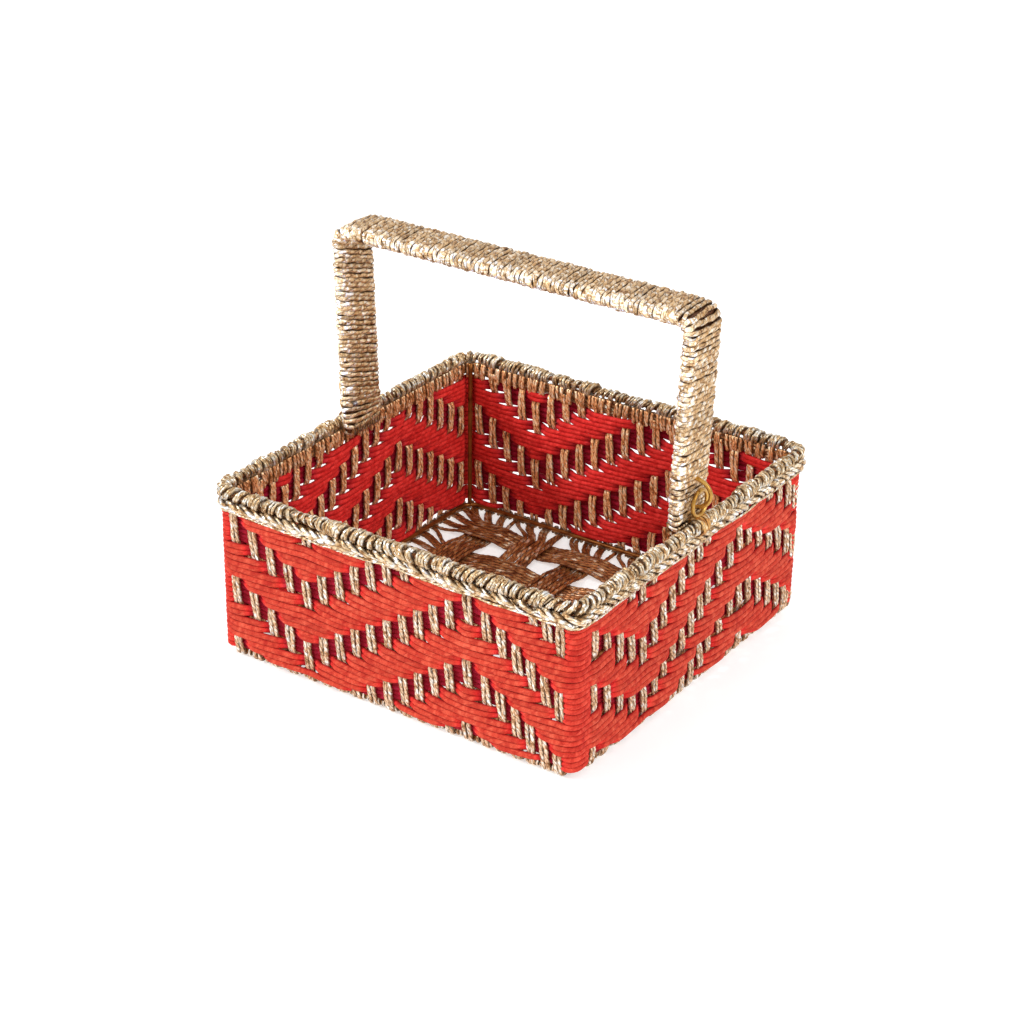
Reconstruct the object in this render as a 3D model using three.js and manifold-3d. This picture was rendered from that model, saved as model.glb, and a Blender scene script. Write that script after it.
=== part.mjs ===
// Square gift basket: woven walls on a wire frame, a wrapped rim and a folding wound handle
// Millimetres, +Z up, origin at the centre of the underside; the handle spans from left (-X) to right (+X)
import * as THREE from "three";
import { mergeVertices } from "three/addons/utils/BufferGeometryUtils.js";
import Module from "manifold-3d";

const wasm = await Module();
wasm.setup();

// Shared clearance between pieces that touch
const clearance = 0.3;

// Walls: upright cords and the red courses woven round them
const wallOuterHalf = 132.5;
const wallCorner = 8.5;
const warpCount = 21;
const warpMargin = 10.05;
const warpWidth = 5;
const warpThickness = 1.8;
const weftTop = 100.5;
const weftPitch = 7.04;
const weftCount = 13;
const weftThickness = 2.2;
const weftGap = 0.35;
const weftBevel = 1;
const cornerShift = 0.6;
const twillRun = 3;
const valleyColumn = 4;
const peakColumn = 14;

// Rim: wire, wound roll and the braid row under it
const rimInset = 1.5;
const rimCorner = 12;
const rimTop = 118;
const rollRadius = 4.7;
const rimWireRadius = 1.8;
const braidBottom = 101;
const braidInset = 1.2;
const braidProud = 2.5;
const braidBevel = 1.6;

// Base: bare wire, corner posts and the woven bands
const baseWireInset = 3.25;
const baseWireRadius = 1.6;
const postRadius = 1.5;
const bandCount = 6;
const bandWidth = 23;
const bandGap = 1.6;
const bandThickness = 1.8;
const bandLift = 2.5;
const bandShift = { x: -3.3, y: 8.4 };

// Handle: flat core, broad winding, hooks and the eyes on the rim
const topZ = 250;
const footZ = 110;
const handleLean = 5.45;
const shoulderRadius = 7.8;
const coreThickness = 3.8;
const coreFlatHalf = 12.8;
const windingGap = 0.6;
const windingThickness = 1.3;
const windingSlit = 1;
const windingStart = 8;
const loopsOnLeg = 5;
const loopsOnShoulder = 2;
const loopsOnGrip = 10;
const shoulderLead = 1.5;
const footClearance = 0.95;
const eyeRadius = 8.2;
const hookWireRadius = 1.35;
const hookHeight = 19;
const hookReach = 10;
const hookDrop = 3.5;

// Places that follow from the sizes above
const weftOffset = warpThickness / 2 + weftGap + weftThickness / 2;
const wallHalf = wallOuterHalf - weftOffset - weftThickness / 2;
const wallInner = wallCorner - weftOffset - weftThickness / 2;
const warpPitch = (2 * (wallHalf - warpMargin)) / (warpCount - 1);
const rimHalf = wallOuterHalf - rimInset;
const braidOuterHalf = wallOuterHalf + braidProud;
const rollZ = rimTop - rollRadius;
const rollBottom = rimTop - 2 * rollRadius;
const postAt = wallHalf - wallCorner + (wallInner - clearance - postRadius) * Math.SQRT1_2;
const baseWireHalf = wallHalf - baseWireInset;
const bandPitch = ((warpCount - 1) * warpPitch) / bandCount;
const bandFlare = bandPitch - bandGap;
const baseWireCorner = (baseWireHalf - postAt) / (1 - Math.SQRT1_2);
const baseWireZ = bandThickness + clearance + baseWireRadius;
const windingReach = windingGap + windingThickness;
const handleHalf = coreThickness / 2 + windingReach;
const footHalf = rimHalf - rollRadius - footClearance - handleHalf;
const gripHalf = footHalf + handleLean;
const gripZ = topZ - handleHalf;
const eyeZ = rimTop + clearance + eyeRadius + hookWireRadius;

const red = { color: 0xd23a2a, roughness: 0.85, metalness: 0 };
const gold = { color: 0xb59a5f, roughness: 0.5, metalness: 0.4 };
const brown = { color: 0x8a5a30, roughness: 0.6, metalness: 0.3 };
const bronze = { color: 0x96652f, roughness: 0.35, metalness: 0.9 };
const brightWire = { color: 0xb58a3c, roughness: 0.3, metalness: 0.9 };

const basket = new THREE.Group();
const handle = new THREE.Group();

function addPiece(group, name, geometry, finish) {
  const mesh = new THREE.Mesh(geometry, new THREE.MeshStandardMaterial(finish));
  mesh.name = name;
  group.add(mesh);
  return mesh;
}

// Six times the volume inside a list of triangles, positive where they face out
function signedVolume(points, faces) {
  let total = 0;
  for (let f = 0; f < faces.length; f += 3) {
    const [a, b, c] = [points[faces[f]], points[faces[f + 1]], points[faces[f + 2]]];
    total += a.dot(new THREE.Vector3().crossVectors(b, c));
  }
  return total;
}

// Closed solid skinned over rings of points; a loop joins its last ring to its first
function skin(rings, loop) {
  const points = rings.flat();
  const count = rings[0].length;
  const faces = [];
  for (let r = 0; r < rings.length - (loop ? 0 : 1); r++) {
    const here = r * count;
    const next = ((r + 1) % rings.length) * count;
    for (let k = 0; k < count; k++) {
      const turn = (k + 1) % count;
      faces.push(here + k, here + turn, next + turn, here + k, next + turn, next + k);
    }
  }
  if (!loop) {
    const last = points.length - count;
    for (let k = 1; k < count - 1; k++) {
      faces.push(0, k + 1, k, last, last + k, last + k + 1);
    }
  }
  if (signedVolume(points, faces) < 0) faces.reverse();
  const geometry = new THREE.BufferGeometry().setFromPoints(points);
  geometry.setIndex(faces);
  return geometry;
}

// Joins closed geometries into one solid
function fuse(geometries) {
  const solids = geometries.map((geometry) => {
    const merged = mergeVertices(geometry);
    const mesh = new wasm.Mesh({
      numProp: 3,
      vertProperties: new Float32Array(merged.attributes.position.array),
      triVerts: new Uint32Array(merged.index.array),
    });
    return new wasm.Manifold(mesh);
  });
  const mesh = solids.reduce((whole, solid) => whole.add(solid)).getMesh();
  const geometry = new THREE.BufferGeometry();
  geometry.setAttribute("position", new THREE.BufferAttribute(mesh.vertProperties, 3));
  geometry.setIndex(new THREE.BufferAttribute(mesh.triVerts, 1));
  return geometry;
}

// Stations on a rounded square, anticlockwise from the middle of the right side
function roundedSquare(half, radius, steps) {
  const stations = [];
  for (let corner = 0; corner < 4; corner++) {
    for (let step = 0; step <= steps; step++) {
      stations.push(cornerStation(half, radius, corner, step / steps));
    }
  }
  return stations;
}

// One station on the arc of a corner, share 0 at its start and 1 at its end
function cornerStation(half, radius, corner, share) {
  const angle = (corner + share) * Math.PI / 2;
  const middle = (corner + 0.5) * Math.PI / 2;
  const centre = new THREE.Vector2(Math.cos(middle), Math.sin(middle)).multiplyScalar((half - radius) * Math.SQRT2);
  const normal = new THREE.Vector2(Math.cos(angle), Math.sin(angle));
  return { at: centre.addScaledVector(normal, radius), normal };
}

// Ring of points at a station: an outline of outward distance and height
function sectionAt(station, outline, shift = 0) {
  return outline.map(([out, z]) => {
    const place = station.at.clone().addScaledVector(station.normal, out + shift);
    return new THREE.Vector3(place.x, place.y, z);
  });
}

function roundOutline(radius, z, sides) {
  const outline = [];
  for (let k = 0; k < sides; k++) {
    const angle = (2 * Math.PI * k) / sides;
    outline.push([radius * Math.cos(angle), z + radius * Math.sin(angle)]);
  }
  return outline;
}

// Height, in courses, by which the twill has stepped at an upright cord: down to a valley, up to a peak and back
function zigzag(column) {
  if (column <= valleyColumn) return column;
  if (column <= peakColumn) return 2 * valleyColumn - column;
  return column + 2 * valleyColumn - 2 * peakColumn;
}

// A course passes inside the upright cord for three courses and outside for the next three
function weftSide(pick, column) {
  const period = 2 * twillRun;
  const phase = (((pick - zigzag(column)) % period) + period) % period;
  return phase < twillRun ? -weftOffset : weftOffset;
}

const sideNames = ["right", "back", "left", "front"];

// Frame of a wall: its outward normal and the direction in which a course runs along it
function sideFrame(side) {
  const angle = (side * Math.PI) / 2;
  const normal = new THREE.Vector2(Math.round(Math.cos(angle)), Math.round(Math.sin(angle)));
  const along = new THREE.Vector2(-normal.y, normal.x);
  return { normal, along };
}

// Columns are counted along +X and +Y, whichever way the course runs
function columnAt(side, place) {
  const { along } = sideFrame(side);
  return along.x + along.y > 0 ? place : warpCount - 1 - place;
}

function warpPlace(place) {
  return (place - (warpCount - 1) / 2) * warpPitch;
}

// Stations of one course round the basket, stepping in or out between two upright cords; all courses turn a corner alike
function weftStations(pick) {
  const stations = [];
  const reach = warpWidth / 2 + 2 * clearance;
  for (let side = 0; side < 4; side++) {
    const { normal, along } = sideFrame(side);
    const stationAt = (distance, shift) => {
      const at = normal.clone().multiplyScalar(wallHalf).addScaledVector(along, distance);
      stations.push({ at, normal, shift });
    };
    stationAt(warpPlace(0) - reach, weftSide(pick, columnAt(side, 0)));
    for (let place = 0; place < warpCount - 1; place++) {
      const here = weftSide(pick, columnAt(side, place));
      const next = weftSide(pick, columnAt(side, place + 1));
      if (here !== next) {
        stationAt(warpPlace(place) + reach, here);
        stationAt(warpPlace(place + 1) - reach, next);
      }
    }
    stationAt(warpPlace(warpCount - 1) + reach, weftSide(pick, columnAt(side, warpCount - 1)));
    stations.push({ ...cornerStation(wallHalf, wallCorner, side, 0.5), shift: cornerShift });
  }
  return stations;
}

function weftCourse(pick, z, height) {
  const half = weftThickness / 2;
  const rise = height / 2;
  const outline = [
    [half, z - rise + weftBevel], [half, z + rise - weftBevel], [0, z + rise],
    [-half, z + rise - weftBevel], [-half, z - rise + weftBevel], [0, z - rise],
  ];
  return skin(weftStations(pick).map((station) => sectionAt(station, outline, station.shift)), true);
}

function addWefts() {
  for (let pick = 0; pick < weftCount; pick++) {
    const z = weftTop - (pick + 0.5) * weftPitch;
    addPiece(basket, `weft_${String(pick + 1).padStart(2, "0")}`, weftCourse(pick, z, weftPitch - weftGap), red);
  }
  const single = weftPitch / 2;
  const z = weftTop - weftCount * weftPitch - single / 2;
  addPiece(basket, `weft_${weftCount + 1}_single`, weftCourse(weftCount, z, single - weftGap), red);
}

// Upright cord: a flat six sided strip from the floor into the braid row
function warp(side, place) {
  const { normal, along } = sideFrame(side);
  const edge = warpWidth / 2;
  const flat = edge - warpThickness / 2;
  const half = warpThickness / 2;
  const section = [[edge, 0], [flat, half], [-flat, half], [-edge, 0], [-flat, -half], [flat, -half]];
  const ringAt = (z) => section.map(([across, out]) => {
    const at = normal.clone().multiplyScalar(wallHalf + out).addScaledVector(along, warpPlace(place) + across);
    return new THREE.Vector3(at.x, at.y, z);
  });
  return skin([ringAt(0), ringAt((braidBottom + rollBottom) / 2)], false);
}

// Braid row of one side, cut square at the middle of each corner
function braidRow(side) {
  const top = rollBottom - clearance;
  const outer = braidOuterHalf - wallHalf;
  const outline = [
    [-braidInset, braidBottom], [outer - braidBevel, braidBottom], [outer, braidBottom + braidBevel],
    [outer, top - braidBevel], [outer - braidBevel, top], [-braidInset, top],
  ];
  const radius = rimCorner - rimHalf + wallHalf;
  const cut = clearance / (Math.PI * (radius - braidInset));
  const shares = [0.5 + cut, 0.75, 1];
  const before = shares.map((share) => cornerStation(wallHalf, radius, side + 3, share));
  const after = shares.map((share) => cornerStation(wallHalf, radius, side, 1 - share)).reverse();
  return skin([...before, ...after].map((station) => sectionAt(station, outline)), false);
}

function addWarps() {
  sideNames.forEach((sideName, side) => {
    const strips = [];
    for (let place = 0; place < warpCount; place++) {
      strips.push(warp(side, place));
    }
    addPiece(basket, `braid_and_warps_${sideName}`, fuse([braidRow(side), ...strips]), gold);
  });
}

// Wound roll, open below along a channel that holds the rim wire
function addRim() {
  const flat = rollRadius * Math.tan(Math.PI / 8);
  const channel = rimWireRadius + clearance + 0.1;
  const channelTop = channel * Math.tan(Math.PI / 8);
  const outline = [
    [channel, -rollRadius], [flat + 0.5, -rollRadius], [rollRadius, -flat], [rollRadius, flat],
    [flat, rollRadius], [-flat, rollRadius], [-rollRadius, flat], [-rollRadius, -flat],
    [-flat - 0.5, -rollRadius], [-channel, -rollRadius], [-channel, channelTop], [-channelTop, channel],
    [channelTop, channel], [channel, channelTop],
  ].map(([out, z]) => [out, rollZ + z]);
  const path = roundedSquare(rimHalf, rimCorner, 4);
  addPiece(basket, "rim_roll", skin(path.map((station) => sectionAt(station, outline)), true), gold);
  const wire = roundOutline(rimWireRadius, rollZ, 6);
  addPiece(basket, "rim_wire", skin(path.map((station) => sectionAt(station, wire)), true), bronze);
}

function addBaseWire() {
  const outline = roundOutline(baseWireRadius, baseWireZ, 6);
  const path = roundedSquare(baseWireHalf, baseWireCorner, 3);
  addPiece(basket, "base_wire", skin(path.map((station) => sectionAt(station, outline)), true), bronze);
}

function addPosts() {
  const bottom = baseWireZ + baseWireRadius + clearance;
  const top = rollBottom - clearance;
  const corners = { right_back: [1, 1], left_back: [-1, 1], left_front: [-1, -1], right_front: [1, -1] };
  for (const [name, [x, y]] of Object.entries(corners)) {
    const geometry = new THREE.CylinderGeometry(postRadius, postRadius, top - bottom, 8);
    const post = addPiece(basket, `corner_post_${name}`, geometry, bronze);
    post.rotation.x = Math.PI / 2;
    post.position.set(x * postAt, y * postAt, (top + bottom) / 2);
  }
}

// Flat band along one axis, flared where its cords fan out to the wall, over one and under one of the others
function baseBand(axis, index) {
  const other = axis === "x" ? "y" : "x";
  const middle = (bandCount - 1) / 2;
  const slot = (index - middle) * bandPitch;
  const end = wallHalf - warpThickness / 2 - clearance;
  const narrow = baseWireHalf - baseWireRadius - 1;
  const hold = bandWidth / 2 + 2 * clearance;
  const stations = [{ at: -end, centre: slot, width: bandFlare, lift: 0 }];
  const straight = { centre: slot + bandShift[axis], width: bandWidth };
  stations.push({ ...straight, at: -narrow, lift: 0 });
  for (let crossing = 0; crossing < bandCount; crossing++) {
    const over = (index + crossing) % 2 === (axis === "x" ? 1 : 0);
    if (over) {
      const at = (crossing - middle) * bandPitch + bandShift[other];
      const foot = bandPitch - hold;
      stations.push({ ...straight, at: Math.max(at - foot, -narrow + 0.1), lift: 0 });
      stations.push({ ...straight, at: at - hold, lift: bandLift });
      stations.push({ ...straight, at: at + hold, lift: bandLift });
      stations.push({ ...straight, at: Math.min(at + foot, narrow - 0.1), lift: 0 });
    }
  }
  stations.push({ ...straight, at: narrow, lift: 0 });
  stations.push({ at: end, centre: slot, width: bandFlare, lift: 0 });
  const rings = stations.map(({ at, centre, width, lift }) => {
    const corners = [[-1, 0], [1, 0], [1, 1], [-1, 1]];
    return corners.map(([across, up]) => {
      const place = centre + (across * width) / 2;
      const z = lift + up * bandThickness;
      return axis === "x" ? new THREE.Vector3(at, place, z) : new THREE.Vector3(place, at, z);
    });
  });
  return skin(rings, false);
}

function addBase() {
  for (const axis of ["x", "y"]) {
    for (let index = 0; index < bandCount; index++) {
      addPiece(basket, `base_band_${axis}_${index + 1}`, baseBand(axis, index), brown);
    }
  }
}

// Centre line of the handle in the XZ plane: leg, shoulder arc and half the grip, the rest mirrored
const legFoot = new THREE.Vector2(-footHalf, footZ);
const legCorner = new THREE.Vector2(-gripHalf, gripZ);
const legUp = legCorner.clone().sub(legFoot).normalize();
const legOut = new THREE.Vector2(-legUp.y, legUp.x);
const shoulderTurn = Math.acos(legUp.x);
const shoulderTangent = shoulderRadius * Math.tan(shoulderTurn / 2);
const legLength = legCorner.distanceTo(legFoot) - shoulderTangent;
const shoulderLength = shoulderRadius * shoulderTurn;
const halfLength = legLength + shoulderLength + gripHalf - shoulderTangent;
const shoulderCentre = legFoot.clone().addScaledVector(legUp, legLength).addScaledVector(legOut, -shoulderRadius);

function handleStation(distance) {
  if (distance > halfLength) {
    const { at, normal } = handleStation(2 * halfLength - distance);
    return { at: new THREE.Vector2(-at.x, at.y), normal: new THREE.Vector2(-normal.x, normal.y) };
  }
  if (distance <= legLength) {
    return { at: legFoot.clone().addScaledVector(legUp, distance), normal: legOut.clone() };
  }
  if (distance <= legLength + shoulderLength) {
    const normal = legOut.clone().rotateAround(new THREE.Vector2(), (legLength - distance) / shoulderRadius);
    return { at: shoulderCentre.clone().addScaledVector(normal, shoulderRadius), normal };
  }
  return { at: new THREE.Vector2(distance - halfLength, gripZ), normal: new THREE.Vector2(0, 1) };
}

function handlePoint(distance, y, out) {
  const { at, normal } = handleStation(distance);
  at.addScaledVector(normal, out);
  return new THREE.Vector3(at.x, y, at.y);
}

// Point on the hexagonal outline of the core, grown by an offset; eight corners go once round it
function roundCore(corner, offset) {
  const half = coreThickness / 2 + offset;
  const flat = coreFlatHalf + offset * Math.tan(Math.PI / 8);
  const edge = coreFlatHalf + coreThickness / 2 + offset * Math.SQRT2;
  return [
    [0, -half], [flat, -half], [edge, 0], [flat, half], [0, half], [-flat, half], [-edge, 0], [-flat, -half],
  ][corner % 8];
}

function addCore() {
  const distances = [0];
  for (let step = 0; step <= 4; step++) {
    distances.push(legLength + (shoulderLength * step) / 4);
  }
  distances.push(...distances.map((distance) => 2 * halfLength - distance).reverse());
  const rings = distances.map((distance) => [1, 2, 3, 5, 6, 7].map((corner) => {
    const [y, out] = roundCore(corner, 0);
    return handlePoint(distance, y, out);
  }));
  addPiece(handle, "handle_core", skin(rings, false), bronze);
}

// Distance along the handle at a number of loops: even on the legs and the grip, closer round the shoulders
function windingPlace(loops) {
  const total = 2 * (loopsOnLeg + loopsOnShoulder) + loopsOnGrip;
  if (loops > total / 2) return 2 * halfLength - windingPlace(total - loops);
  const shoulderStart = legLength - shoulderLead;
  if (loops < loopsOnLeg) return windingStart + ((shoulderStart - windingStart) * loops) / loopsOnLeg;
  const shoulderEnd = legLength + shoulderLength + shoulderLead;
  const onShoulder = loops - loopsOnLeg;
  if (onShoulder < loopsOnShoulder) {
    return shoulderStart + ((shoulderEnd - shoulderStart) * onShoulder) / loopsOnShoulder;
  }
  return shoulderEnd + ((halfLength - shoulderEnd) * (onShoulder - loopsOnShoulder)) / (loopsOnGrip / 2);
}

// Six points across the winding at a loop count: its inner and outer face, edge to edge
function windingRing(loops, corner) {
  const places = [
    windingPlace(loops - 0.5) + windingSlit / 2, windingPlace(loops), windingPlace(loops + 0.5) - windingSlit / 2,
  ];
  const [innerY, innerOut] = roundCore(corner, windingGap);
  const [outerY, outerOut] = roundCore(corner, windingReach);
  return [
    ...places.map((place) => handlePoint(place, innerY, innerOut)),
    ...places.reverse().map((place) => handlePoint(place, outerY, outerOut)),
  ];
}

function addWinding() {
  const total = 2 * (loopsOnLeg + loopsOnShoulder) + loopsOnGrip;
  const rings = [];
  for (let step = 0; step <= total * 8; step++) {
    rings.push(windingRing(step / 8, step));
  }
  let leastGap = Infinity;
  for (let step = 0; step + 8 < rings.length; step++) {
    for (const [front, back] of [[2, 0], [3, 5]]) {
      leastGap = Math.min(leastGap, rings[step][front].distanceTo(rings[step + 8][back]));
    }
  }
  console.log(`handle_winding: least gap between its turns ${leastGap.toFixed(2)} mm`);
  const straightEnd = (ring, side) => ring.map((point) => point.clone().add(new THREE.Vector3(0, side * windingThickness, 0)));
  rings.unshift(straightEnd(rings[0], -1));
  rings.push(straightEnd(rings[rings.length - 1], 1));
  addPiece(handle, "handle_winding", skin(rings, false), gold);
}

// Half an ellipse of wire from the outer face of a leg, over the eye and back through it
class HookCurve extends THREE.Curve {
  constructor(side) {
    super();
    this.side = side;
  }

  getPoint(share, target = new THREE.Vector3()) {
    const angle = Math.PI * (share - 0.5);
    const lowest = eyeZ - hookDrop;
    const z = lowest + (hookHeight * (1 - Math.sin(angle))) / 2;
    const distance = (z - footZ) / legUp.y;
    const face = -handlePoint(distance, 0, handleHalf + clearance / legUp.y).x;
    return target.set(this.side * (face + hookReach * Math.cos(angle)), 0, z);
  }
}

function addHooksAndEyes() {
  for (const [name, side] of [["left", -1], ["right", 1]]) {
    const section = new THREE.Shape().absarc(0, 0, hookWireRadius, 0, 2 * Math.PI);
    const options = { extrudePath: new HookCurve(side), steps: 14, curveSegments: 4, bevelEnabled: false };
    addPiece(handle, `handle_hook_${name}`, new THREE.ExtrudeGeometry(section, options), brightWire);
    const eye = addPiece(basket, `rim_eye_${name}`, new THREE.TorusGeometry(eyeRadius, hookWireRadius, 8, 20), brightWire);
    eye.rotation.y = Math.PI / 2;
    eye.position.set(side * rimHalf, 0, eyeZ);
  }
}

addWefts();
addWarps();
addRim();
addBaseWire();
addPosts();
addBase();
addCore();
addWinding();
addHooksAndEyes();

const giftBasket = new THREE.Group();
giftBasket.add(basket, handle);

export default giftBasket;
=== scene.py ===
from math import acos, cos, pi, radians, sin, tan

import bpy
import numpy as np
from mathutils import Matrix, Vector


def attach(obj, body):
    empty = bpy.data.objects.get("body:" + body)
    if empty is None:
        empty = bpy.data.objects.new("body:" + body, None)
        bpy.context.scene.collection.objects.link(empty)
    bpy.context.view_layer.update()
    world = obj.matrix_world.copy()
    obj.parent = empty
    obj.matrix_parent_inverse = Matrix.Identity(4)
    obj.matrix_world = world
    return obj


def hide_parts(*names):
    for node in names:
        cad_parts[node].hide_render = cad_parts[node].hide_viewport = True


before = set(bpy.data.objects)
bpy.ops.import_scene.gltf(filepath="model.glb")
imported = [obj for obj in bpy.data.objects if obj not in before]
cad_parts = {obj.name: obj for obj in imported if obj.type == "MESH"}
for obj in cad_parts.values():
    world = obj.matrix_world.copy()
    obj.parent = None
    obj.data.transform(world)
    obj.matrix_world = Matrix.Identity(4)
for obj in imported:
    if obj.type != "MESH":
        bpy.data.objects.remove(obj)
scene = bpy.context.scene
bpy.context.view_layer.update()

mm = 0.001
upward = np.array([0, 0, 1.0])
sideNames = ["right", "back", "left", "front"]

# the weave, in millimetres, as the basket's walls are woven
weave = {
    "half": 129.05,  # middle of the wall, from the basket's centre
    "columns": 21,
    "columnPitch": 11.9,
    "top": 100.5,
    "courses": 13,
    "coursePitch": 7.04,
    "float": 3,  # courses that an upright cord passes over, and then under
    "valley": 4,  # the uprights where the zigzag turns back
    "peak": 14,
    "cornerZone": 4.0,  # the reds lie flat this far beyond a side's last uprights
    # how far upright cords stand beside their even places
    "nudge": {
        "right": [(-119, 8), (-95, 10), (-60, 11), (-36, 8), (0, 3.8), (12, 1.4), (36, 4.8), (60, 4), (83, 6.5),
                  (107, 7), (119, 4.5)],
        "front": [(-119, 0), (-107, 2.9), (-95, 4.2), (-71, 8.3), (-48, 9.4), (0, 9.5), (36, 7.2), (60, 9.5),
                  (83, 7.3), (95, 5.4), (107, 3.2), (119, 0.9)],
    },
    # how far their feet stand beside their tops, fading out towards the side's ends
    "lean": {"right": 9.0},
    "leanHalf": 126.0,
    # by how many courses a side's zigzag runs late near the top, and down to which one at its ends and between them
    "late": {"by": {"right": 1.0}, "ends": 5.0, "between": 10.5, "from": 2, "fade": 1.5},
}


def linear(red, green, blue):
    # a colour as a picture shows it, 0 to 255, in the light that a shader works in
    shares = [c / 255 for c in (red, green, blue)]
    return tuple(c / 12.92 if c <= 0.04045 else ((c + 0.055) / 1.055) ** 2.4 for c in shares) + (1.0,)


def ease(x):
    x = np.clip(x, 0, 1)
    return x * x * (3 - 2 * x)


def wander(count, step, seed):
    # smooth noise of about -1 to 1, a new value every so many samples
    knots = np.random.default_rng(seed).uniform(-1, 1, int(count / step) + 4)
    place = np.arange(count) / step
    low = place.astype(int)
    share = ease(place - low)
    return knots[low] * (1 - share) + knots[low + 1] * share


def smoothLoop(values, sigma):
    # blurs values that run round a closed loop
    rate = np.fft.rfftfreq(len(values))
    return np.fft.irfft(np.fft.rfft(values) * np.exp(-2 * (pi * rate * sigma) ** 2), len(values))


def smoothLine(values, sigma):
    # blurs values that have two ends
    reach = int(3 * sigma) + 1
    kernel = np.exp(-0.5 * (np.arange(-reach, reach + 1) / sigma) ** 2)
    padded = np.concatenate([np.full(reach, values[0]), values, np.full(reach, values[-1])])
    return np.convolve(padded, kernel / kernel.sum(), "valid")


def uneven(noise, seed, count, scale=1, blurred=smoothLoop):
    # noise of a given strength, spread and blur
    strength, spread, blur = noise
    return strength * blurred(np.random.default_rng(seed).normal(0, spread, count), scale * blur)


def toneOf(seed):
    return np.random.default_rng(seed).uniform(0, 1)


def unit(vectors):
    return vectors / np.maximum(np.linalg.norm(vectors, axis=-1, keepdims=True), 1e-9)


def sweep(points, out, width, height, sides=8, lobes=0, depth=0.0, twist=10.0, closed=False, strand=0.5,
          turn=0.0):
    # one cord: an oval section carried along its points, with the plies of its twist
    # out is the way that the section's height faces
    points = np.asarray(points, float)
    count = len(points)
    out = np.broadcast_to(np.asarray(out, float), points.shape)
    if closed:
        forward = np.roll(points, -1, 0) - np.roll(points, 1, 0)
        steps = np.roll(points, -1, 0) - points
    else:
        forward = np.gradient(points, axis=0)
        steps = np.diff(points, axis=0)
    along = np.concatenate([[0], np.cumsum(np.linalg.norm(steps, axis=1))])
    forward = unit(forward)
    across = unit(np.cross(forward, out))
    up = np.cross(across, forward)
    angle = 2 * pi * np.arange(sides) / sides
    here = along[:count, None]
    grow = 1 + depth * np.cos(lobes * (angle[None] - 2 * pi * here / twist - turn))
    wide = (np.broadcast_to(width, count)[:, None] * np.cos(angle) * grow)[..., None]
    high = (np.broadcast_to(height, count)[:, None] * np.sin(angle) * grow)[..., None]
    verts = (points[:, None] + across[:, None] * wide + up[:, None] * high).reshape(-1, 3)
    rings = count if closed else count - 1
    ring = np.arange(rings)[:, None]
    side = np.arange(sides)[None]
    nextRing, nextSide = (ring + 1) % count, (side + 1) % sides
    quads = np.stack([ring * sides + side, ring * sides + nextSide, nextRing * sides + nextSide,
                      nextRing * sides + side], -1).reshape(-1, 4)
    start, end = along[:rings, None] + 0 * side, along[1:rings + 1, None] + 0 * side
    left, right = side / sides + 0 * start, (side + 1) / sides + 0 * start
    uvs = np.stack([start, left, start, right, end, right, end, left], -1).reshape(-1, 2)
    caps = [] if closed else [list(range(sides))[::-1], [(count - 1) * sides + k for k in range(sides)]]
    return {"verts": verts, "quads": quads, "uvs": uvs, "caps": caps, "lengths": (along[0], along[-1]),
            "strand": np.full(len(verts), strand), "paintedLight": np.zeros(len(verts))}


def addObject(name, data):
    thing = bpy.data.objects.new(name, data)
    scene.collection.objects.link(thing)
    return thing


def makePiece(name, cords, finish, replaced=(), body="basket"):
    # joins cords into one mesh, in metres, and hangs it on its body
    verts = np.concatenate([cord["verts"] * mm for cord in cords])
    corners, starts, uvs = [], [], []
    offset = loops = 0
    for cord in cords:
        corners.append((cord["quads"] + offset).ravel())
        starts.append(loops + 4 * np.arange(len(cord["quads"])))
        loops += 4 * len(cord["quads"])
        uvs.append(cord["uvs"])
        for cap, length in zip(cord["caps"], cord["lengths"]):
            corners.append(np.array(cap) + offset)
            starts.append(np.array([loops]))
            loops += len(cap)
            uvs.append(np.tile([[length, 0.0]], (len(cap), 1)))
        offset += len(cord["verts"])
    corners, starts = np.concatenate(corners), np.concatenate(starts)
    mesh = bpy.data.meshes.new(name)
    mesh.vertices.add(len(verts))
    mesh.vertices.foreach_set("co", verts.astype(np.float32).ravel())
    mesh.loops.add(len(corners))
    mesh.loops.foreach_set("vertex_index", corners.astype(np.int32))
    mesh.polygons.add(len(starts))
    mesh.polygons.foreach_set("loop_start", starts.astype(np.int32))
    mesh.update(calc_edges=True)
    mesh.polygons.foreach_set("use_smooth", np.ones(len(starts), bool))
    layer = mesh.uv_layers.new(name="cord")  # millimetres along the cord, and the share of the way round it
    layer.data.foreach_set("uv", np.concatenate(uvs).astype(np.float32).ravel())
    for key in ("strand", "paintedLight"):
        values = np.concatenate([cord[key] for cord in cords])
        attribute = mesh.attributes.new(key, "FLOAT", "POINT")
        attribute.data.foreach_set("value", values.astype(np.float32))
    mesh.materials.append(finishes[finish])
    piece = addObject(name, mesh)
    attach(piece, body)
    if replaced:
        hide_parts(*replaced)


def makeHoop(name, loop, z, radius, sides, finish, replaced):
    # a wire that lies level round the basket
    points = np.column_stack([loop[:, :2], np.full(len(loop), z)])
    makePiece(name, [sweep(points, upward, radius, radius, sides, closed=True)], finish, [replaced])


# materials

def feed(tree, node, inputs):
    for key, value in inputs.items():
        socket = node.inputs[key] if isinstance(key, (int, str)) else key
        if isinstance(value, bpy.types.NodeSocket):
            tree.links.new(value, socket)
        else:
            socket.default_value = value


def addNode(tree, kind, inputs=None, **settings):
    node = tree.nodes.new("ShaderNode" + kind)
    for key, value in settings.items():
        setattr(node, key, value)
    feed(tree, node, inputs or {})
    return node


def maths(tree, operation, a, b=0.0, c=0.0):
    return addNode(tree, "Math", {0: a, 1: b, 2: c}, operation=operation).outputs[0]


def mapped(tree, value, low, high, first, last):
    inputs = {0: value, 1: low, 2: high, 3: first, 4: last}
    return addNode(tree, "MapRange", inputs).outputs[0]


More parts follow.
